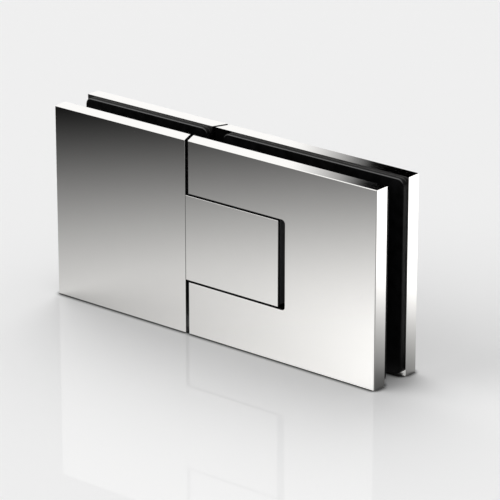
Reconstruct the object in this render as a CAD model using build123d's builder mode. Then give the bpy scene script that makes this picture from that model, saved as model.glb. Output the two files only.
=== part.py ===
from build123d import *
import os
from math import hypot

# Glass-to-glass door hinge that opens 90 degrees each way.
# Two pairs of clamp plates hold two glass panes. The fixed pair carries a block whose head stands out
# as a tongue. The door pair has a C-shaped notch round that tongue and holds the ends of the pin.
# Millimetres: +X runs from the fixed leaf to the door leaf, -Y is the front, +Z is up.
# The origin is at the middle of the footprint, on the plane that the plates stand on.

os.makedirs("parts", exist_ok=True)

# ---- Driving dimensions ----

# Clamp plates
plate_height = 90.0
plate_thickness = 7.2
fixed_plate_length = 76.7
door_plate_length = 103.15
seam_gap = 1.85  # between the fixed plates and the door plates
seam_slant = 3.0  # of the seam's walls towards the fixed leaf, over the plates' thickness
face_chamfer = 0.3  # on the outer borders of the chrome faces
edge_break = 0.1  # on their edges at the seam and round the tongue

# Glass and gaskets
glass_thickness = 10.0
gasket_thickness = 2.4
gasket_inset = 0.9  # from the plates' outer edges
gasket_corner_radius = 3.0
fixed_gasket_setback = 0.9  # from the fixed plates' inner corner at the seam
door_gasket_setback = 6.45  # from the door plates' inner corner at the seam
gasket_cutout_gap = 0.5  # between a gasket and the metal it is cut out for

# Tongue and notch
pivot_offset = 24.8  # from the fixed plates' seam edge to the pin's axis
tongue_reach = 27.5  # from the pin's axis to the tongue's free end
tongue_height = 39.3
tongue_side_gap = 1.0  # above and below the tongue
notch_corner_radius = 1.8
swing_clearance = 0.2  # between the tongue's corners and the notch's end
cover_thickness = 1.2
cover_seam = 0.15  # hairline between the covers and the fixed plates
cover_overhang = 0.4  # of the covers past the block at the tongue's free end
tab_width = 6.0
tab_thickness = 2.0
tab_length = 3.0
tab_spacing_z = 28.0
tab_edge_distance = 6.0  # from the tabs' middles to the covers' ends

# Pivot block and yoke
root_length = 38.0  # of the block between the fixed plates
block_corner_radius = 3.0
block_edge_chamfer = 0.4
yoke_arm_height = 12.0
yoke_web_width = 14.0
yoke_arm_overhang = 11.0  # of the arms past the pin's axis
yoke_arm_end_radius = 6.0

# Pin, bearings and detent
pin_radius = 5.0
pin_recess = 1.0  # of the pin's ends inside the yoke
pin_chamfer = 0.5
detent_flat_distance = 4.5  # from the pin's axis
running_clearance = 0.05
bush_wall = 1.13
bush_spring_gap = 0.45  # between a bush and the ends of the leaf springs
fit_gap = 0.02  # between pieces that are pressed or screwed together
washer_radius = 10.0
washer_end_play = 0.1
washer_bore_clearance = 0.1
spring_thickness = 0.8
spring_width = 11.6
spring_length = 24.0
spring_bow = 0.5
spring_side_gap = 0.3
spring_window_margin = 3.0  # of spring held behind the window's edges, at each end

# Screws
screw_radius = 3.0
screw_head_radius = 6.0
screw_head_recess = 0.1
screw_socket_flats = 4.0  # across flats
screw_socket_depth = 2.4
screw_hole_clearance = 0.25
thread_engagement = 4.8
blind_hole_spare = 0.4
fixed_screw_spacing_z = 23.0
set_screw_radius = 2.5
set_screw_length = 6.0
set_screw_socket_flats = 2.5
set_screw_socket_depth = 2.2
pin_end_flat_distance = 4.6
pin_end_flat_height = 8.0

# ---- Derived places ----

width = fixed_plate_length + seam_gap + door_plate_length
clamp_gap = glass_thickness + 2 * gasket_thickness
depth = clamp_gap + 2 * plate_thickness
outer_y = depth / 2
inner_y = clamp_gap / 2
middle_z = plate_height / 2

left_end = -width / 2
right_end = width / 2
fixed_seam_x = left_end + fixed_plate_length
door_seam_x = fixed_seam_x + seam_gap
pivot_x = fixed_seam_x + pivot_offset
tongue_start_x = fixed_seam_x + cover_seam
tongue_end_x = pivot_x + tongue_reach
tongue_bottom = middle_z - tongue_height / 2
tongue_top = middle_z + tongue_height / 2
notch_bottom = tongue_bottom - tongue_side_gap
notch_top = tongue_top + tongue_side_gap
root_start_x = fixed_seam_x - root_length


# The notch's end clears the tongue's corners as the door turns round them.
tongue_sweep = max(hypot(tongue_reach - edge_break, outer_y), hypot(tongue_reach, outer_y - edge_break))
notch_end_x = pivot_x + tongue_sweep + swing_clearance

# The seam's walls slant together, so that the door plates' corners swing clear of the fixed plates.
fixed_inner_x = fixed_seam_x - seam_slant
door_inner_x = door_seam_x - seam_slant

yoke_start_x = pivot_x - yoke_arm_overhang
yoke_end_x = notch_end_x + yoke_web_width
yoke_bottom = notch_bottom - yoke_arm_height
yoke_top = notch_top + yoke_arm_height
yoke_height = yoke_top - yoke_bottom

block_face_y = outer_y - cover_thickness
bore_radius = pin_radius + running_clearance + bush_wall + fit_gap
washer_thickness = tongue_side_gap - washer_end_play
detent_height = spring_length + 2 * bush_spring_gap
bush_length = (tongue_height - detent_height) / 2
spring_seat_y = detent_flat_distance + spring_thickness + spring_bow + 2 * fit_gap

fixed_screw_x = fixed_seam_x - root_length / 2
fixed_screw_zs = (middle_z - fixed_screw_spacing_z / 2, middle_z + fixed_screw_spacing_z / 2)
door_screw_x = notch_end_x + yoke_web_width / 2
arm_middle_zs = (yoke_bottom + yoke_arm_height / 2, yoke_top - yoke_arm_height / 2)
tab_xs = (tongue_start_x + tab_edge_distance, tongue_end_x - tab_edge_distance)
tab_zs = (middle_z - tab_spacing_z / 2, middle_z + tab_spacing_z / 2)
screw_hole_radius = screw_radius + screw_hole_clearance
blind_hole_depth = thread_engagement + blind_hole_spare


def grid(xs, zs):
    """Every pair of an X from one list and a Z from the other."""
    return [(x, z) for x in xs for z in zs]


fixed_screw_places = grid([fixed_screw_x], fixed_screw_zs)
door_screw_places = grid([door_screw_x], arm_middle_zs)
tab_places = grid(tab_xs, tab_zs)

FRONT, BACK = -1, 1
sides = {"front": FRONT, "back": BACK}


def wall_plane(y, side):
    """An upright plane at this Y that faces outwards on this side, with its own Y along +Z."""
    return Plane(origin=(0, y, 0), x_dir=(-side, 0, 0), z_dir=(0, side, 0))


def on_wall(places, side):
    """Places given as X and Z, in the local coordinates of a wall plane on this side."""
    return [(-side * x, z) for x, z in places]


# ---- Clamp plates ----
# Each plate is its plan outline drawn up to full height. The front plates have blind threaded holes
# on their inner faces, and the back plates have countersunk holes, so that the front stays plain.

fixed_outline = (
    (left_end, inner_y),
    (left_end, outer_y),
    (fixed_seam_x, outer_y),
    (fixed_inner_x, inner_y),
)
door_outline = (
    (door_inner_x, inner_y),
    (door_seam_x, outer_y),
    (right_end, outer_y),
    (right_end, inner_y),
)


def plan_sketch(outline, side):
    """A plate's plan outline, given on the back side, as a sketch on either side."""
    with BuildSketch(Plane.XY) as plan:
        with BuildLine():
            Polyline(*[(x, side * y) for x, y in outline], close=True)
        make_face()
    return plan.sketch


def outer_face_edges(plate, side):
    """The edges round the outer chrome face of a plate or cover."""
    return plate.faces().filter_by(Axis.Y).sort_by(Axis.Y)[0 if side == FRONT else -1].edges()


def on_border(edge):
    """Whether an edge lies along the leaves' outer borders, and not at the seam or round the notch."""
    middle = edge.center()
    beside_end = abs(middle.X) > width / 2 - 2 * face_chamfer
    return beside_end or abs(middle.Z - middle_z) > middle_z - 2 * face_chamfer


def chamfer_outer_face(plate, side):
    """Chamfers a plate's outer face: wider along its borders than at the seam and round the notch."""
    chamfer([edge for edge in outer_face_edges(plate, side) if on_border(edge)], face_chamfer)
    chamfer([edge for edge in outer_face_edges(plate, side) if not on_border(edge)], edge_break)


def screw_holes(places, side):
    """Blind threaded holes in a front plate, or countersunk through holes in a back plate."""
    if side == FRONT:
        with Locations(wall_plane(-inner_y, BACK)):
            with Locations(*on_wall(places, BACK)):
                Hole(radius=screw_radius + fit_gap, depth=blind_hole_depth)
    else:
        with Locations(wall_plane(outer_y, BACK)):
            with Locations(*on_wall(places, BACK)):
                CounterSinkHole(
                    radius=screw_hole_radius,
                    counter_sink_radius=screw_head_radius + screw_head_recess + fit_gap,
                    counter_sink_angle=90,
                )


for name, side in sides.items():
    with BuildPart() as fixed_plate:
        extrude(plan_sketch(fixed_outline, side), amount=plate_height)
        chamfer_outer_face(fixed_plate, side)
        screw_holes(fixed_screw_places, side)
    fixed_plate.part.label = f"fixed_{name}_plate"
    export_step(fixed_plate.part, f"parts/fixed_{name}_plate.step")

    with BuildPart() as door_plate:
        extrude(plan_sketch(door_outline, side), amount=plate_height)
        with BuildSketch(Plane.XZ) as notch:
            with Locations(((fixed_inner_x + notch_end_x) / 2, middle_z)):
                Rectangle(notch_end_x - fixed_inner_x, notch_top - notch_bottom)
            fillet(notch.vertices().group_by(Axis.X)[-1], notch_corner_radius)
        extrude(amount=depth, both=True, mode=Mode.SUBTRACT)
        chamfer_outer_face(door_plate, side)
        screw_holes(door_screw_places, side)
    door_plate.part.label = f"door_{name}_plate"
    export_step(door_plate.part, f"parts/door_{name}_plate.step")

# ---- Gaskets ----
# Flat rubber sheets on the plates' inner faces, cut out round the block's root or the yoke.


def gasket_sketch(start_x, end_x, cut_start_x, cut_end_x, cut_height):
    """A rounded sheet with an open cut-out from its seam end, drawn as X and Z."""
    with BuildSketch() as cutout:
        with Locations(((cut_start_x + cut_end_x) / 2, middle_z)):
            Rectangle(abs(cut_end_x - cut_start_x), cut_height)
        closed_end = -1 if cut_end_x > cut_start_x else 0
        fillet(cutout.vertices().group_by(Axis.X)[closed_end], block_corner_radius + gasket_cutout_gap)
    with BuildSketch() as sheet:
        with Locations(((start_x + end_x) / 2, middle_z)):
            RectangleRounded(end_x - start_x, plate_height - 2 * gasket_inset, gasket_corner_radius)
        add(cutout.sketch, mode=Mode.SUBTRACT)
    return sheet.sketch


fixed_gasket_sketch = gasket_sketch(
    start_x=left_end + gasket_inset,
    end_x=fixed_inner_x - fixed_gasket_setback,
    cut_start_x=fixed_seam_x,
    cut_end_x=root_start_x - gasket_cutout_gap,
    cut_height=tongue_height + 2 * gasket_cutout_gap,
)
door_gasket_sketch = gasket_sketch(
    start_x=door_inner_x + door_gasket_setback,
    end_x=right_end - gasket_inset,
    cut_start_x=door_inner_x,
    cut_end_x=yoke_end_x + gasket_cutout_gap,
    cut_height=yoke_height + 2 * gasket_cutout_gap,
)

for name, side in sides.items():
    gasket_plane = Plane.XZ.offset(-side * glass_thickness / 2)

    with BuildPart() as fixed_gasket:
        with BuildSketch(gasket_plane):
            add(fixed_gasket_sketch)
        extrude(amount=-side * gasket_thickness)
    fixed_gasket.part.label = f"fixed_{name}_gasket"
    export_step(fixed_gasket.part, f"parts/fixed_{name}_gasket.step")

    with BuildPart() as door_gasket:
        with BuildSketch(gasket_plane):
            add(door_gasket_sketch)
        extrude(amount=-side * gasket_thickness)
    door_gasket.part.label = f"door_{name}_gasket"
    export_step(door_gasket.part, f"parts/door_{name}_gasket.step")

# ---- Pivot block ----
# The thin root is clamped between the fixed plates. The thick head fills the tongue: it holds the pin's
# bushes in one bore, and a window on each side in which a leaf spring bears on the pin's flats.

with BuildPart() as pivot_block:
    with BuildSketch(Plane.XZ.offset(-inner_y)) as root:
        with Locations(((root_start_x + tongue_start_x) / 2, middle_z)):
            Rectangle(tongue_start_x - root_start_x, tongue_height)
        fillet(root.vertices().group_by(Axis.X)[0], block_corner_radius)
    extrude(amount=clamp_gap)
    head_end_x = tongue_end_x - cover_overhang
    with BuildSketch(Plane.XZ.offset(-block_face_y)):
        with Locations(((tongue_start_x + head_end_x) / 2, middle_z)):
            Rectangle(head_end_x - tongue_start_x, tongue_height)
    extrude(amount=2 * block_face_y)
    chamfer(pivot_block.faces().sort_by(Axis.X)[-1].edges(), block_edge_chamfer)
    with Locations((pivot_x, 0, tongue_top)):
        Hole(radius=bore_radius)
    with Locations((pivot_x, 0, middle_z)):
        window_height = spring_length - 2 * spring_window_margin
        Box(spring_width + 2 * spring_side_gap, 2 * block_face_y, window_height, mode=Mode.SUBTRACT)
        seat_height = spring_length + 2 * spring_side_gap
        Box(spring_width + 2 * spring_side_gap, 2 * spring_seat_y, seat_height, mode=Mode.SUBTRACT)
    for side in sides.values():
        with BuildSketch(wall_plane(side * block_face_y, side)):
            with Locations(*on_wall(tab_places, side)):
                Rectangle(tab_width + 2 * fit_gap, tab_thickness + 2 * fit_gap)
        extrude(amount=-(tab_length + blind_hole_spare), mode=Mode.SUBTRACT)
    with Locations(wall_plane(inner_y, BACK)):
        with Locations(*on_wall(fixed_screw_places, BACK)):
            Hole(radius=screw_hole_radius)
pivot_block.part.label = "pivot_block"
export_step(pivot_block.part, "parts/pivot_block.step")

# ---- Tongue covers ----
# Thin chrome faces, flush with the plates, that close the spring windows. Their tabs press into slots
# in the block.

for name, side in sides.items():
    with BuildPart() as cover:
        with BuildSketch(wall_plane(side * block_face_y, side)):
            with Locations(*on_wall([((tongue_start_x + tongue_end_x) / 2, middle_z)], side)):
                Rectangle(tongue_end_x - tongue_start_x, tongue_height)
        extrude(amount=cover_thickness)
        chamfer(outer_face_edges(cover, side), edge_break)
        with BuildSketch(wall_plane(side * block_face_y, side)):
            with Locations(*on_wall(tab_places, side)):
                Rectangle(tab_width, tab_thickness)
        extrude(amount=-tab_length)
    cover.part.label = f"tongue_{name}_cover"
    export_step(cover.part, f"parts/tongue_{name}_cover.step")

# ---- Bushes and thrust washers ----

bush_bottoms = {"upper": tongue_top - bush_length, "lower": tongue_bottom}
for name, bottom in bush_bottoms.items():
    with BuildPart() as bush:
        with BuildSketch(Plane.XY.offset(bottom)):
            with Locations((pivot_x, 0)):
                Circle(bore_radius - fit_gap)
                Circle(pin_radius + running_clearance, mode=Mode.SUBTRACT)
        extrude(amount=bush_length)
    bush.part.label = f"{name}_bush"
    export_step(bush.part, f"parts/{name}_bush.step")

washer_bottoms = {"upper": tongue_top, "lower": tongue_bottom - washer_thickness}
for name, bottom in washer_bottoms.items():
    with BuildPart() as washer:
        with BuildSketch(Plane.XY.offset(bottom)):
            with Locations((pivot_x, 0)):
                Circle(washer_radius)
                Circle(pin_radius + washer_bore_clearance, mode=Mode.SUBTRACT)
        extrude(amount=washer_thickness)
    washer.part.label = f"{name}_thrust_washer"
    export_step(washer.part, f"parts/{name}_thrust_washer.step")

# ---- Detent leaf springs ----
# Bowed strips. The middle of each bears on a flat of the pin, and its ends rest against the block
# behind the window's edges.

for name, side in sides.items():
    with BuildPart() as leaf_spring:
        near_y = side * (detent_flat_distance + fit_gap)
        far_y = near_y + side * spring_thickness
        low_z = middle_z - spring_length / 2
        high_z = middle_z + spring_length / 2
        with BuildSketch(Plane.YZ.offset(pivot_x - spring_width / 2)):
            with BuildLine():
                low_near = (near_y + side * spring_bow, low_z)
                high_near = (near_y + side * spring_bow, high_z)
                low_far = (far_y + side * spring_bow, low_z)
                high_far = (far_y + side * spring_bow, high_z)
                ThreePointArc(low_near, (near_y, middle_z), high_near)
                Line(high_near, high_far)
                ThreePointArc(high_far, (far_y, middle_z), low_far)
                Line(low_far, low_near)
            make_face()
        extrude(amount=spring_width)
    leaf_spring.part.label = f"{name}_leaf_spring"
    export_step(leaf_spring.part, f"parts/{name}_leaf_spring.step")

# ---- Yoke ----
# A C-shaped carrier between the door plates. Its arms reach above and below the tongue and hold the
# ends of the pin, and the screws that clamp the door plates pass through the ends of its web.

with BuildPart() as pivot_yoke:
    with BuildSketch(Plane.XZ.offset(-inner_y)) as yoke:
        with Locations(((yoke_start_x + yoke_end_x) / 2, middle_z)):
            Rectangle(yoke_end_x - yoke_start_x, yoke_height)
        fillet(yoke.vertices().group_by(Axis.X)[-1], block_corner_radius)
        with BuildSketch(mode=Mode.PRIVATE) as throat:
            with Locations(((yoke_start_x + notch_end_x) / 2, middle_z)):
                Rectangle(notch_end_x - yoke_start_x, notch_top - notch_bottom)
            fillet(throat.vertices().group_by(Axis.X)[-1], notch_corner_radius)
        add(throat.sketch, mode=Mode.SUBTRACT)
    extrude(amount=clamp_gap)
    arm_end_edges = pivot_yoke.edges().filter_by(Axis.Z).group_by(Axis.X)[0]
    fillet(arm_end_edges, yoke_arm_end_radius)
    with Locations((pivot_x, 0, yoke_top)):
        Hole(radius=pin_radius + fit_gap)
    with Locations(wall_plane(inner_y, BACK)):
        with Locations(*on_wall(door_screw_places, BACK)):
            Hole(radius=screw_hole_radius)
    with Locations(Plane(origin=(yoke_start_x, 0, 0), x_dir=(0, 1, 0), z_dir=(-1, 0, 0))):
        with Locations(*[(0, -z) for z in arm_middle_zs]):
            Hole(radius=set_screw_radius + fit_gap, depth=yoke_arm_overhang)
pivot_yoke.part.label = "pivot_yoke"
export_step(pivot_yoke.part, "parts/pivot_yoke.step")

# ---- Pin ----
# A steel pin with four flats between the bushes, one for each quarter turn, and a flat near each end
# for the set screw that stops it turning in the yoke.

with BuildPart() as pivot_pin:
    pin_bottom = yoke_bottom + pin_recess
    pin_length = yoke_height - 2 * pin_recess
    with BuildSketch(Plane.XY.offset(pin_bottom)):
        with Locations((pivot_x, 0)):
            Circle(pin_radius)
    extrude(amount=pin_length)
    chamfer(pivot_pin.edges().filter_by(GeomType.CIRCLE), pin_chamfer)
    with BuildSketch(Plane.XY.offset(middle_z - detent_height / 2)):
        with Locations((pivot_x, 0)):
            Circle(2 * pin_radius)
            Rectangle(2 * detent_flat_distance, 2 * detent_flat_distance, mode=Mode.SUBTRACT)
    extrude(amount=detent_height, mode=Mode.SUBTRACT)
    with Locations(*[(pivot_x - pin_end_flat_distance, 0, z) for z in arm_middle_zs]):
        Box(
            pin_radius,
            2 * pin_radius,
            pin_end_flat_height,
            align=(Align.MAX, Align.CENTER, Align.CENTER),
            mode=Mode.SUBTRACT,
        )
pivot_pin.part.label = "pivot_pin"
export_step(pivot_pin.part, "parts/pivot_pin.step")

# ---- Screws ----


def hexagon(across_flats):
    """A hexagon for a socket, sized across its flats."""
    RegularPolygon(radius=across_flats / 2, side_count=6, major_radius=False)


# One clamp screw, with the top of its countersunk head at the origin and its tip down.
screw_length = 2 * inner_y + plate_thickness - screw_head_recess + thread_engagement
with BuildPart() as clamp_screw:
    with BuildSketch(Plane.XZ):
        with BuildLine():
            Polyline(
                (0, 0),
                (screw_head_radius, 0),
                (screw_radius, screw_radius - screw_head_radius),
                (screw_radius, -screw_length),
                (0, -screw_length),
                close=True,
            )
        make_face()
    revolve(axis=Axis.Z)
    with BuildSketch(Plane.XY):
        hexagon(screw_socket_flats)
    extrude(amount=-screw_socket_depth, mode=Mode.SUBTRACT)

screw_groups = {"fixed_clamp_screws": fixed_screw_places, "door_clamp_screws": door_screw_places}
for name, places in screw_groups.items():
    with BuildPart() as clamp_screws:
        with Locations(wall_plane(outer_y - screw_head_recess, BACK)):
            with Locations(*on_wall(places, BACK)):
                add(clamp_screw.part)
    clamp_screws.part.label = name
    export_step(clamp_screws.part, f"parts/{name}.step")

with BuildPart() as pin_set_screws:
    set_screw_tip_x = pivot_x - pin_end_flat_distance
    set_screw_plane = Plane(
        origin=(set_screw_tip_x - set_screw_length, 0, 0), x_dir=(0, 1, 0), z_dir=(-1, 0, 0)
    )
    with BuildSketch(set_screw_plane):
        with Locations(*[(0, -z) for z in arm_middle_zs]):
            Circle(set_screw_radius)
    extrude(amount=-set_screw_length)
    with BuildSketch(set_screw_plane):
        with Locations(*[(0, -z) for z in arm_middle_zs]):
            hexagon(set_screw_socket_flats)
    extrude(amount=-set_screw_socket_depth, mode=Mode.SUBTRACT)
pin_set_screws.part.label = "pin_set_screws"
export_step(pin_set_screws.part, "parts/pin_set_screws.step")
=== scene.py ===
from math import cos, radians, sin

import bpy
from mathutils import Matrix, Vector


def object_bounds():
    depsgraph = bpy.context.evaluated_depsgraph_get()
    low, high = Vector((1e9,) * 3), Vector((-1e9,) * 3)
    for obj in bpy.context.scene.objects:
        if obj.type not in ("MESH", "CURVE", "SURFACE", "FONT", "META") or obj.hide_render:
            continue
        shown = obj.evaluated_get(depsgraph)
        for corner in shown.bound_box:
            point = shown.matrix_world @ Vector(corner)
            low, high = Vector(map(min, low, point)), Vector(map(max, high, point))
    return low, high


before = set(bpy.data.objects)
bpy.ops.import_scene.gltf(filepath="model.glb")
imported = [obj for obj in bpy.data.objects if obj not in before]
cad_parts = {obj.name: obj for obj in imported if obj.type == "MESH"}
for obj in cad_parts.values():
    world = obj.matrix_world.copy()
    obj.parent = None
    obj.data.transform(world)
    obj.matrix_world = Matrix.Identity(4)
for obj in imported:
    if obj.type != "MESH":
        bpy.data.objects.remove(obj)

# A polished glass door hinge on a pale floor. Metres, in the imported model's frame: +X runs from the
# fixed leaf to the door leaf, -Y is the front, +Z is up.

cad_low, cad_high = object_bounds()
scene = bpy.context.scene
scene.view_settings.view_transform = "Standard"

# ---- Camera ----

CAMERA_AZIMUTH = 39.75  # degrees from the front towards the right
CAMERA_ELEVATION = 20.2
CAMERA_DISTANCE = 1.423
CAMERA_LENS = 234.6  # mm
SENSOR_WIDTH = 36.0  # mm
CLIP_RANGE = (0.05, 60.0)
AIM_OFFSET = Vector((0.0105, 0.0, -0.0042))  # from the middle of the hinge to the picture's centre


def direction_to(azimuth, elevation):
    """A unit vector from the hinge towards an azimuth, from the front to the right, and an elevation."""
    around, up = radians(azimuth), radians(elevation)
    return Vector((sin(around) * cos(up), -cos(around) * cos(up), sin(up)))


def make_camera():
    """The camera at the photograph's viewing angle."""
    away = direction_to(CAMERA_AZIMUTH, CAMERA_ELEVATION)
    camera_data = bpy.data.cameras.new("camera")
    camera_data.lens = CAMERA_LENS
    camera_data.sensor_width = SENSOR_WIDTH
    camera_data.clip_start, camera_data.clip_end = CLIP_RANGE
    camera = bpy.data.objects.new("camera", camera_data)
    scene.collection.objects.link(camera)
    camera.location = (cad_low + cad_high) / 2 + AIM_OFFSET + away * CAMERA_DISTANCE
    camera.rotation_mode = "QUATERNION"
    camera.rotation_quaternion = (-away).to_track_quat("-Z", "Y")
    scene.camera = camera


# ---- Node helpers ----


class Tree:
    """A node tree with short calls for the nodes that the materials share."""

    def __init__(self, tree):
        self.tree = tree
        tree.nodes.clear()

    def node(self, kind, inputs=(), **settings):
        """A node with its settings, and its inputs given as values or as other nodes' outputs."""
        made = self.tree.nodes.new("ShaderNode" + kind)
        for name, value in settings.items():
            setattr(made, name, value)
        for socket, value in dict(inputs).items():
            if isinstance(value, bpy.types.NodeSocket):
                self.tree.links.new(value, made.inputs[socket])
            else:
                made.inputs[socket].default_value = value
        return made

    def math(self, operation, *values):
        """The result of a Math node."""
        made = self.node("Math", dict(enumerate(values)), operation=operation)
        return made.outputs[0]

    def ramp(self, value, low, high, to_low=0.0, to_high=1.0, smooth=False):
        """value, carried from the range low..high to the range to_low..to_high."""
        made = self.node(
            "MapRange",
            {0: value, 1: low, 2: high, 3: to_low, 4: to_high},
            interpolation_type="SMOOTHSTEP" if smooth else "LINEAR",
        )
        return made.outputs[0]

    def place(self, stretch=(1.0, 1.0, 1.0)):
        """Places on the object in millimetres, divided by a stretch along each axis."""
        coordinates = self.node("TexCoord").outputs["Object"]
        scale = tuple(1000.0 / s for s in stretch)
        return self.node("Mapping", {"Vector": coordinates, "Scale": scale}).outputs[0]

    def noise(self, vector, scale, detail=2.0, roughness=0.5):
        """Noise between 0 and 1, with this many blobs for each unit of the vector."""
        made = self.node(
            "TexNoise",
            {"Vector": vector, "Scale": scale, "Detail": detail, "Roughness": roughness},
        )
        return made.outputs["Fac"]

    def tint(self, factor, dark, light):
        """A colour between two others."""
        made = self.node("Mix", data_type="RGBA")
        self.tree.links.new(factor, made.inputs["Factor"])
        made.inputs[6].default_value = (*dark, 1.0)
        made.inputs[7].default_value = (*light, 1.0)
        return made.outputs[2]

    def bump(self, height, strength, distance):
        """A bumped normal from a height between 0 and 1."""
        made = self.node("Bump", {"Height": height, "Strength": strength, "Distance": distance})
        return made.outputs[0]


def new_material(name):
    """An empty material and its tree."""
    material = bpy.data.materials.new(name)
    material.use_nodes = True
    return material, Tree(material.node_tree)


def close_surface(tree, color, roughness, normal, constants):
    """Ends a material in one Principled shader with linked colour, roughness and normal."""
    shader = tree.node(
        "BsdfPrincipled", {"Base Color": color, "Roughness": roughness, "Normal": normal, **constants}
    )
    tree.node("OutputMaterial", {"Surface": shader.outputs[0]})


# ---- Materials ----

POLISH_DEPTH = 0.0003  # how deep the mirror polish and the full mirror colour reach: over the chamfers of the outer faces; deeper walls get haze and painted shade
UPRIGHT_EDGE_PAINTED_DIM = 0.22  # mirror colour left on the upright chamfers: painted shade that dims their reflection
UNPOLISHED_HAZE = 0.22  # roughness that the walls inside the hinge have over the polished faces
FACING_FROM, FACING_FULLY = 0.8, 0.9  # share of a normal along Y, from a wall to a face
DIAGONAL_FROM, DIAGONAL_FULLY = 0.1, 0.4  # product of a normal's X and Y shares on a chamfer
LINE_ROUGHNESS = 0.015  # that the polishing lines add
RUBBER_HIGHLIGHT_COLOR = (0.22, 0.22, 0.22, 1.0)  # painted highlight on the gaskets' upper rounded edges
RUBBER_HIGHLIGHT_FROM, RUBBER_HIGHLIGHT_FULLY = 0.1, 0.45  # product of a normal's Y and Z shares there


def unpolished_and_shaded(tree):
    """1 on walls inside the hinge, at the seam and the notch, and 0 on faces to the front or back: where
    the chrome gets haze and painted shade.
    """
    middle, half = (cad_low + cad_high) / 2, (cad_high - cad_low) / 2
    place = tree.node("TexCoord").outputs["Object"]
    offset = tree.node("VectorMath", {0: place, 1: middle}, operation="SUBTRACT").outputs[0]
    spread = tree.node("VectorMath", {0: offset}, operation="ABSOLUTE").outputs[0]
    depth = tree.node("VectorMath", {0: half, 1: spread}, operation="SUBTRACT").outputs[0]
    along = tree.node("SeparateXYZ", {0: depth}).outputs
    least = tree.math("MINIMUM", tree.math("MINIMUM", along[0], along[1]), along[2])
    inside = tree.ramp(least, POLISH_DEPTH, 1.5 * POLISH_DEPTH)
    normal = tree.node("SeparateXYZ", {0: tree.node("TexCoord").outputs["Normal"]}).outputs
    wall = tree.ramp(tree.math("ABSOLUTE", normal[1]), FACING_FROM, FACING_FULLY, 1.0, 0.0)
    return tree.math("MULTIPLY", inside, wall)


def upright_edges(tree):
    """1 on the upright chamfers and 0 on flat faces."""
    normal = tree.node("SeparateXYZ", {0: tree.node("TexCoord").outputs["Normal"]}).outputs
    diagonal = tree.math("ABSOLUTE", tree.math("MULTIPLY", normal[0], normal[1]))
    return tree.ramp(diagonal, DIAGONAL_FROM, DIAGONAL_FULLY)


def make_chrome():
    """Mirror chrome: a trace of haze, fine upright polishing lines and a faint waviness, with painted
    shade on the upright chamfers and on the walls inside the hinge.
    """
    material, tree = new_material("polished_chrome")
    haze = tree.noise(tree.place(), 0.09, detail=4.0)
    polished = tree.tint(haze, (0.962, 0.951, 0.929), (0.985, 0.974, 0.951))
    # Painted shade: the upright chamfers' mirror colour is dimmed, so they reflect grey.
    edge_dimming = tree.ramp(upright_edges(tree), 0.0, 1.0, 1.0, UPRIGHT_EDGE_PAINTED_DIM)
    outside = tree.node("VectorMath", {0: polished, "Scale": edge_dimming}, operation="SCALE").outputs[0]
    haze_and_shade = unpolished_and_shaded(tree)
    # Painted shade: the walls inside the hinge, at the seam and the notch, are coloured nearly black.
    blotches = tree.noise(tree.place(), 0.8, detail=3.0)
    painted_wall_shade = tree.tint(blotches, (0.045, 0.045, 0.045), (0.075, 0.075, 0.073))
    color = tree.node("Mix", {"Factor": haze_and_shade, 6: outside, 7: painted_wall_shade}, data_type="RGBA").outputs[2]
    lines = tree.noise(tree.place(stretch=(0.25, 0.25, 40.0)), 1.0, detail=3.0, roughness=0.65)
    haze_amount = tree.ramp(haze, 0.3, 0.75, 0.02, 0.045)
    lined = tree.math("ADD", haze_amount, tree.math("MULTIPLY", lines, LINE_ROUGHNESS))
    roughness = tree.math("ADD", lined, tree.math("MULTIPLY", haze_and_shade, UNPOLISHED_HAZE))
    waves = tree.noise(tree.place(stretch=(1.0, 1.0, 1.6)), 0.05, detail=1.0)
    wavy = tree.bump(waves, 0.02, 0.0005)
    normal = tree.node(
        "Bump", {"Height": lines, "Strength": 0.012, "Distance": 0.00002, "Normal": wavy}
    ).outputs[0]
    close_surface(tree, color, roughness, normal, {"Metallic": 1.0})
    return material


def make_rubber():
    """Black gasket rubber with a fine moulded grain, a slight bloom and a painted highlight on the upper
    rounded edges.
    """
    material, tree = new_material("gasket_rubber")
    bloom = tree.noise(tree.place(), 0.25, detail=5.0)
    black = tree.tint(tree.ramp(bloom, 0.35, 0.7), (0.003, 0.003, 0.003), (0.008, 0.008, 0.0083))
    normal = tree.node("SeparateXYZ", {0: tree.node("TexCoord").outputs["Normal"]}).outputs
    # Painted highlight: the upward-facing rounded edges are coloured grey.
    upper_edge = tree.math("MULTIPLY", tree.math("ABSOLUTE", normal[1]), normal[2])
    painted_edge_highlight = tree.ramp(upper_edge, RUBBER_HIGHLIGHT_FROM, RUBBER_HIGHLIGHT_FULLY)
    highlighted = {"Factor": painted_edge_highlight, 6: black, 7: RUBBER_HIGHLIGHT_COLOR}
    color = tree.node("Mix", highlighted, data_type="RGBA").outputs[2]
    grain = tree.noise(tree.place(), 3.0, detail=3.0)
    roughness = tree.ramp(grain, 0.3, 0.7, 0.26, 0.38)
    relief = tree.bump(grain, 0.12, 0.00006)
    close_surface(tree, color, roughness, relief, {"IOR": 1.5, "Specular IOR Level": 0.06})
    return material


def make_black_metal():
    """Satin black coating over a cast block: soft orange peel and tiny lighter specks."""
    material, tree = new_material("satin_black_metal")
    peel = tree.noise(tree.place(), 1.4, detail=2.0)
    specks = tree.ramp(tree.noise(tree.place(), 7.0, detail=1.0), 0.66, 0.74)
    color = tree.tint(specks, (0.075, 0.075, 0.078), (0.12, 0.12, 0.125))
    roughness = tree.ramp(peel, 0.3, 0.7, 0.30, 0.42)
    normal = tree.bump(peel, 0.15, 0.00008)
    close_surface(tree, color, roughness, normal, {"IOR": 1.5})
    return material


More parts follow.
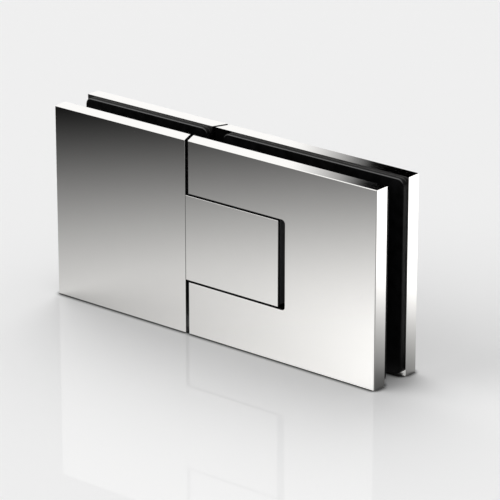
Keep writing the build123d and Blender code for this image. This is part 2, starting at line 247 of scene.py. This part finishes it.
def make_steel(name, dark, light, stretch, roughness_range, relief):
    """Machined metal with fine tool marks drawn out along one direction."""
    material, tree = new_material(name)
    marks = tree.noise(tree.place(stretch=stretch), 1.0, detail=4.0, roughness=0.6)
    cloud = tree.noise(tree.place(), 0.3, detail=3.0)
    color = tree.tint(cloud, dark, light)
    roughness = tree.ramp(marks, 0.25, 0.75, *roughness_range)
    normal = tree.bump(marks, relief, 0.00003)
    close_surface(tree, color, roughness, normal, {"Metallic": 1.0})
    return material


def make_washer_plastic():
    """Ivory nylon with a soft sheen and faint moulding clouds."""
    material, tree = new_material("ivory_nylon")
    cloud = tree.noise(tree.place(), 0.35, detail=4.0)
    color = tree.tint(cloud, (0.66, 0.63, 0.55), (0.74, 0.71, 0.64))
    roughness = tree.ramp(cloud, 0.3, 0.7, 0.36, 0.48)
    normal = tree.bump(tree.noise(tree.place(), 2.5), 0.08, 0.00004)
    close_surface(tree, color, roughness, normal, {"IOR": 1.53, "Subsurface Weight": 0.05})
    return material


CHROME_NODES = (
    "fixed_front_plate",
    "fixed_back_plate",
    "door_front_plate",
    "door_back_plate",
    "tongue_front_cover",
    "tongue_back_cover",
)
RUBBER_NODES = ("fixed_front_gasket", "fixed_back_gasket", "door_front_gasket", "door_back_gasket")
GASKET_EDGE_RADIUS = 0.0003
GASKET_EDGE_ANGLE = radians(50.0)  # from which an edge is rounded
JOIN_DISTANCE = 0.000005


def dress(nodes, material):
    """Puts a material in every material slot of these CAD nodes."""
    for name in nodes:
        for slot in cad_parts[name].material_slots:
            slot.material = material


def soften_gaskets():
    """Rounds the moulded edges of the gaskets slightly, once their split edges are joined."""
    for name in RUBBER_NODES:
        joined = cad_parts[name].modifiers.new("joined_edges", "WELD")
        joined.merge_threshold = JOIN_DISTANCE
        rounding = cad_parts[name].modifiers.new("moulded_edge", "BEVEL")
        rounding.width = GASKET_EDGE_RADIUS
        rounding.use_clamp_overlap = False
        rounding.segments = 2
        rounding.limit_method = "ANGLE"
        rounding.angle_limit = GASKET_EDGE_ANGLE


def make_materials():
    """The finish of every CAD node."""
    dress(CHROME_NODES, make_chrome())
    dress(RUBBER_NODES, make_rubber())
    dress(("pivot_block", "pivot_yoke"), make_black_metal())
    turned = make_steel(
        "ground_steel", (0.50, 0.50, 0.51), (0.60, 0.60, 0.61), (2.0, 2.0, 0.08), (0.14, 0.26), 0.15
    )
    dress(("pivot_pin", "front_leaf_spring", "back_leaf_spring"), turned)
    screw = make_steel(
        "screw_steel", (0.52, 0.52, 0.53), (0.62, 0.62, 0.63), (0.1, 2.0, 0.1), (0.16, 0.30), 0.18
    )
    dress(("fixed_clamp_screws", "door_clamp_screws", "pin_set_screws"), screw)
    bronze = make_steel(
        "bush_bronze", (0.42, 0.25, 0.11), (0.54, 0.34, 0.17), (0.5, 0.5, 0.2), (0.28, 0.42), 0.2
    )
    dress(("upper_bush", "lower_bush"), bronze)
    dress(("upper_thrust_washer", "lower_thrust_washer"), make_washer_plastic())


# ---- Studio ----

FLOOR_SIZE = 16.0
FLOOR_DROP = 0.00005  # under the hinge, so that no face lies in the floor
FLOOR_COLOR = 0.88
FLOOR_IOR = 1.42  # a thin glaze: enough to mirror the hinge faintly
MIRRORED_WHITE = 1.0
# The floor that the chrome mirrors has painted light: bright on the right, with rounded bands that fade
# to the left.
LIT_START = -0.55
LIT_END = 0.028
LIT_FALLOFF = 2.21
BAND_MIDDLE_Y = 0.15
BAND_ROUNDNESS = 0.648
# Past the door leaf's end that floor has painted shade, from the plane of the front face back.
END_SHADE_DARKEST = 0.115
END_SHADE_BACK = 0.106
END_SHADE_FALLOFF = 1.5
EDGE_SOFTNESS = 0.0005
MIRRORED_SHADED = 1.12  # the part of the mirrored floor that carries the hinge's own shadow
MIRRORED_GLOW = 0.32  # the part of it that carries none, a painted glow
CONTACT_REACH = 0.003  # of the painted contact shadow, a dark line where the hinge meets the floor
MIRRORED_CONTACT_REACH = 0.0015
CONTACT_DARKEST = 0.05
CONTACT_OPEN_FROM, CONTACT_OPEN_FULLY = 0.5, 0.95  # share of open sky over the floor
LAMP_SPREAD = radians(50.0)
LAMPS = {  # azimuth and elevation in degrees, and strength
    "back_left_lamp": (-135.0, 50.0, 1.135),
    "front_left_lamp": (-45.0, 30.0, 1.17),
}
AMBIENT = 0.52
FRONT_DIMNESS = 0.44  # of the studio's open front, in mirror rays
# Dark gaps in the ceiling: start, end and the softness of both, in degrees from +Y towards -X.
WIDE_GAP = (9.0, 38.93, 4.0, 1.47)
NARROW_GAP = (-41.0, -32.0, 1.6, 1.6)
GAP_LEAN = 0.38  # radians that the sides of the wide gap lean, per unit of height
GAP_LEAN_ELEVATION = 18.6  # degrees, where the lean is nil
GAP_FADE = (35, 55)  # degrees of elevation over which both gaps fade out
OPEN_FRONT = (95, 125)  # degrees either side of +Y over which the open front begins
CEILING_START = (28, 42)  # degrees of elevation over which the front meets the ceiling


def mirrored_floor(tree):
    """How bright the floor is in mirror rays: its painted light and shade."""
    place = tree.node("SeparateXYZ", {0: tree.node("NewGeometry").outputs["Position"]}).outputs
    across = tree.math("POWER", tree.math("SUBTRACT", place["Y"], BAND_MIDDLE_Y), 2.0)
    along = tree.math("SUBTRACT", place["X"], tree.math("DIVIDE", across, BAND_ROUNDNESS))
    lit = tree.math("POWER", tree.ramp(along, LIT_START, LIT_END), LIT_FALLOFF)
    beyond_end = tree.ramp(place["X"], cad_high.x, cad_high.x + EDGE_SOFTNESS)
    behind_front = tree.ramp(place["Y"], cad_low.y - EDGE_SOFTNESS, cad_low.y)
    beside = tree.math("MULTIPLY", beyond_end, behind_front)
    back = tree.math("POWER", tree.ramp(place["Y"], cad_low.y, END_SHADE_BACK), END_SHADE_FALLOFF)
    shade = tree.ramp(back, 0.0, 1.0, END_SHADE_DARKEST, 1.0)
    end_shade = tree.node("Mix", {"Factor": beside, 2: 1.0, 3: shade}).outputs[0]
    return tree.math("MULTIPLY", lit, end_shade)


def contact_shade(tree, reach):
    """Painted contact shadow: 1 on the open floor, falling within this reach of the hinge to a dark line
    where it stands.
    """
    open_share = tree.node("AmbientOcclusion", {"Distance": reach}, samples=16).outputs["AO"]
    return tree.ramp(open_share, CONTACT_OPEN_FROM, CONTACT_OPEN_FULLY, CONTACT_DARKEST, 1.0)


def make_floor():
    """A pale floor with a thin glaze and a painted contact shadow. In mirror rays it has painted light,
    a glow and a colour that fall off, as on a lit studio table.
    """
    mesh = bpy.data.meshes.new("floor")
    half = FLOOR_SIZE / 2
    corners = [(-half, -half, 0), (half, -half, 0), (half, half, 0), (-half, half, 0)]
    mesh.from_pydata(corners, [], [(0, 1, 2, 3)])
    floor = bpy.data.objects.new("floor", mesh)
    scene.collection.objects.link(floor)
    floor.location.z = cad_low.z - FLOOR_DROP
    material, tree = new_material("studio_floor")
    glossy = tree.node("LightPath").outputs["Is Glossy Ray"]
    mirrored = tree.math("MULTIPLY", mirrored_floor(tree), contact_shade(tree, MIRRORED_CONTACT_REACH))
    shaded_color = tree.math("MULTIPLY", mirrored, MIRRORED_SHADED)
    shaded = tree.node("BsdfDiffuse", {"Color": shaded_color}).outputs[0]
    glow = tree.node("Emission", {"Color": mirrored, "Strength": MIRRORED_GLOW}).outputs[0]
    in_mirrors = tree.node("AddShader", {0: glow, 1: shaded}).outputs[0]
    plain = tree.math("MULTIPLY", contact_shade(tree, CONTACT_REACH), FLOOR_COLOR)
    matt = tree.node("BsdfDiffuse", {"Color": plain}).outputs[0]
    glaze = tree.node("Fresnel", {"IOR": FLOOR_IOR}).outputs[0]
    sheen = tree.node("BsdfGlossy", {"Color": glaze, "Roughness": 0.0}).outputs[0]
    seen = tree.node("AddShader", {0: matt, 1: sheen}).outputs[0]
    surface = tree.node("MixShader", {0: glossy, 1: seen, 2: in_mirrors})
    tree.node("OutputMaterial", {"Surface": surface.outputs[0]})
    material.cycles.emission_sampling = "NONE"
    mesh.materials.append(material)


def make_world():
    """Plain ambient light, white for the camera, and in mirror rays a bright ceiling with dark gaps."""
    world = bpy.data.worlds.new("studio")
    scene.world = world
    world.use_nodes = True
    tree = Tree(world.node_tree)
    direction = tree.node("SeparateXYZ", {0: tree.node("TexCoord").outputs["Generated"]}).outputs
    azimuth = tree.math("ARCTAN2", tree.math("MULTIPLY", direction[0], -1.0), direction[1])

    def gap(around, start, end, softness_start, softness_end):
        """1 between two azimuths in degrees, from +Y towards -X, with soft edges."""
        entered = tree.ramp(around, radians(start - softness_start), radians(start))
        left = tree.ramp(around, radians(end - softness_end), radians(end))
        return tree.math("SUBTRACT", entered, left)

    def fading_up(elevations):
        """1 below the first of two elevations in degrees and 0 above the second."""
        heights = (sin(radians(angle)) for angle in elevations)
        return tree.ramp(direction[2], *heights, 1.0, 0.0, smooth=True)

    above = tree.math("SUBTRACT", direction[2], sin(radians(GAP_LEAN_ELEVATION)))
    lean = tree.math("MULTIPLY", above, GAP_LEAN)
    wide_gap = gap(tree.math("SUBTRACT", azimuth, lean), *WIDE_GAP)
    gaps = tree.math("ADD", wide_gap, gap(azimuth, *NARROW_GAP))
    low_down = fading_up(GAP_FADE)
    aside = tree.math("ABSOLUTE", azimuth)
    sides = (radians(angle) for angle in OPEN_FRONT)
    open_front = tree.ramp(aside, *sides, 0.0, 1.0 - FRONT_DIMNESS, smooth=True)
    below_ceiling = fading_up(CEILING_START)
    dark_gaps = tree.math("MULTIPLY", gaps, low_down)
    dim_front = tree.math("MULTIPLY", open_front, below_ceiling)
    ceiling = tree.math("SUBTRACT", MIRRORED_WHITE, tree.math("MAXIMUM", dark_gaps, dim_front))
    paths = tree.node("LightPath").outputs
    # The floor's glaze mirrors the hinge alone, and the chrome throws no light back on the floor.
    after_matt = tree.math("MINIMUM", paths["Diffuse Depth"], 1.0)
    unseen = tree.math("MAXIMUM", paths["Is Singular Ray"], after_matt)
    mirrored = tree.math("MULTIPLY", ceiling, tree.math("SUBTRACT", 1.0, unseen))
    glossy = tree.node("Mix", {"Factor": paths["Is Glossy Ray"], 2: AMBIENT, 3: mirrored}).outputs[0]
    strength = tree.node("Mix", {"Factor": paths["Is Camera Ray"], 2: glossy, 3: FLOOR_COLOR}).outputs[0]
    background = tree.node("Background", {"Color": (1, 1, 1, 1), "Strength": strength})
    tree.node("OutputWorld", {"Surface": background.outputs[0]})


def make_lamps():
    """Two wide soft lamps on the left, behind and in front, that mirrors don't show."""
    for name, (azimuth, elevation, strength) in LAMPS.items():
        lamp_data = bpy.data.lights.new(name, "SUN")
        lamp_data.energy = strength
        lamp_data.angle = LAMP_SPREAD
        lamp = bpy.data.objects.new(name, lamp_data)
        scene.collection.objects.link(lamp)
        lamp.rotation_mode = "QUATERNION"
        lamp.rotation_quaternion = direction_to(azimuth, elevation).to_track_quat("Z", "Y")
        lamp.visible_glossy = False


make_camera()
make_materials()
soften_gaskets()
make_floor()
make_world()
make_lamps()
